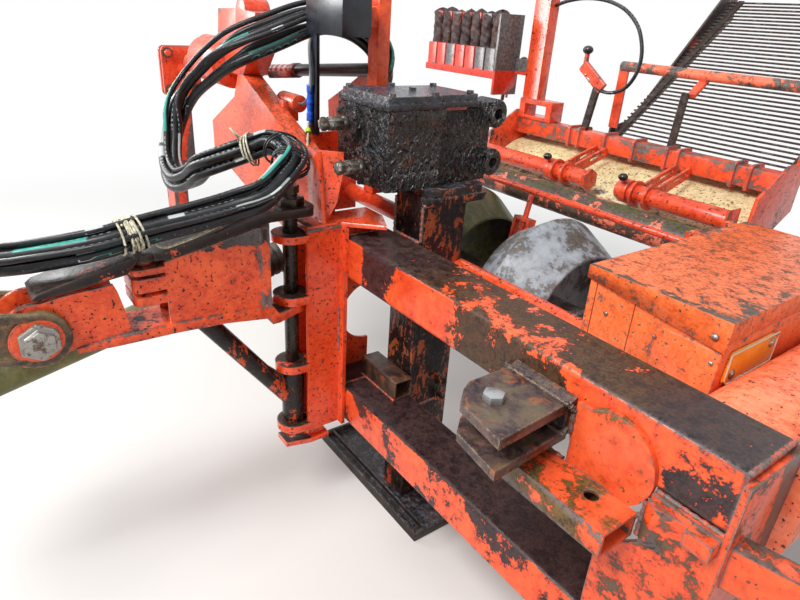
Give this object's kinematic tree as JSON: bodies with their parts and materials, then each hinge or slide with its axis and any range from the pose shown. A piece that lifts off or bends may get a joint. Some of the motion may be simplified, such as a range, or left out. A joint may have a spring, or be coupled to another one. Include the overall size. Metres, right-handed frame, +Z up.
{
  "type": "potato digger drawbar, front frame and intake",
  "caption": "Front section of a trailed potato digger: hinged drawbar with hitch link, cross-beam frame, angle gearbox, chain guard, parking stand and lifting intake.",
  "frame": {"origin": "centre of the side member's rear end face, where it joins the machine's chassis", "axes": "+X towards the machine's left side, +Y rearwards, +Z up"},
  "size_m": [2.88, 3.1417, 1.7126],
  "materials": {
    "paint": "worn orange-red gloss, chipped",
    "worn": "paint worn to dark oiled steel",
    "grease": "oil-soaked casting",
    "rust": "rusted plate",
    "zinc": "bright zinc",
    "pin_steel": "dull greased steel",
    "moss": "mossy weathered paint",
    "cream": "cream worn plate",
    "web_steel": "polished by soil",
    "khaki": "weathered forging",
    "amber": "amber reflector",
    "roller": "grey, scuffed",
    "hose": "glossy black",
    "rubber": "dusty black",
    "olive": "dusty olive",
    "black_box": "black, dusty"
  },
  "bodies": {
    "frame": {"post": "paint", "upper_beam": "paint", "lower_beam": "worn", "end_plate": "paint", "side_member": "paint", "clevis": "rust", "clevis_bolt": "zinc", "shelf_tube": "rust", "receiver": "worn", "column": "grease", "gearbox": "grease", "gearbox_cover": "grease", "drive_tube": "paint", "guard_box": "paint", "reflector": "amber", "hinge_pin": "pin_steel", "cross_tube": "moss", "gauge_rod": "paint", "lever_tubes": "paint", "lever_arms": "paint", "gauge_bar": "paint", "near_wall": "paint", "far_wall": "paint", "share_plates": "cream", "sieving_web": "web_steel", "web_wall": "worn", "roller_axle": "pin_steel", "roller_screw": "paint", "upright": "paint", "valve_bank": "paint", "side_arm": "paint", "arm_head": "paint", "side_leg": "paint", "brace_bar": "paint", "mast": "paint", "switch_box": "black_box", "hose_bundle": "hose"},
    "stand": {"stand_leg": "grease", "stand_foot": "grease"},
    "drawbar": {"tongue": "paint", "top_bar": "worn", "brace_tube": "worn", "hitch_bolt": "zinc", "shaft_guard": "olive", "shaft_cones": "rubber", "hose_ends": "hose", "couplings": "zinc"},
    "hitch": {"hitch_link": "khaki"},
    "upper_shaft": {"upper_shaft": "pin_steel"},
    "lower_shaft": {"lower_shaft": "pin_steel"},
    "lid": {"guard_lid": "paint"},
    "rollers": {"ridge_rollers": "roller"}
  },
  "joints": [
    {"name": "drawbar_swing", "type": "hinge", "parent": "frame", "child": "drawbar", "pos_m": [-1.075, -1.44, -0.17], "axis": [0, 0, 1], "range_deg": [-28, 28]},
    {"name": "hitch_tilt", "type": "hinge", "parent": "drawbar", "child": "hitch", "pos_m": [-1.075, -2.05, 0.041], "axis": [1, 0, 0], "range_deg": [-15, 15]},
    {"name": "stand_lift", "type": "slide", "parent": "frame", "child": "stand", "axis": [0, 0, 1], "range_m": [0, 0.2]},
    {"name": "upper_shaft_spin", "type": "hinge", "parent": "frame", "child": "upper_shaft", "pos_m": [-1.07, -1.3, 0.436], "axis": [0, 1, 0], "continuous": true},
    {"name": "lower_shaft_spin", "type": "hinge", "parent": "frame", "child": "lower_shaft", "pos_m": [-0.99, -1.3, 0.342], "axis": [0, 1, 0], "continuous": true},
    {"name": "lid_open", "type": "hinge", "parent": "frame", "child": "lid", "pos_m": [-0.44, -0.66, 0.233], "axis": [0, -1, 0], "range_deg": [0, 75]},
    {"name": "rollers_spin", "type": "hinge", "parent": "frame", "child": "rollers", "pos_m": [-1.01, -0.71, -0.098], "axis": [1, 0, 0], "continuous": true}
  ]
}
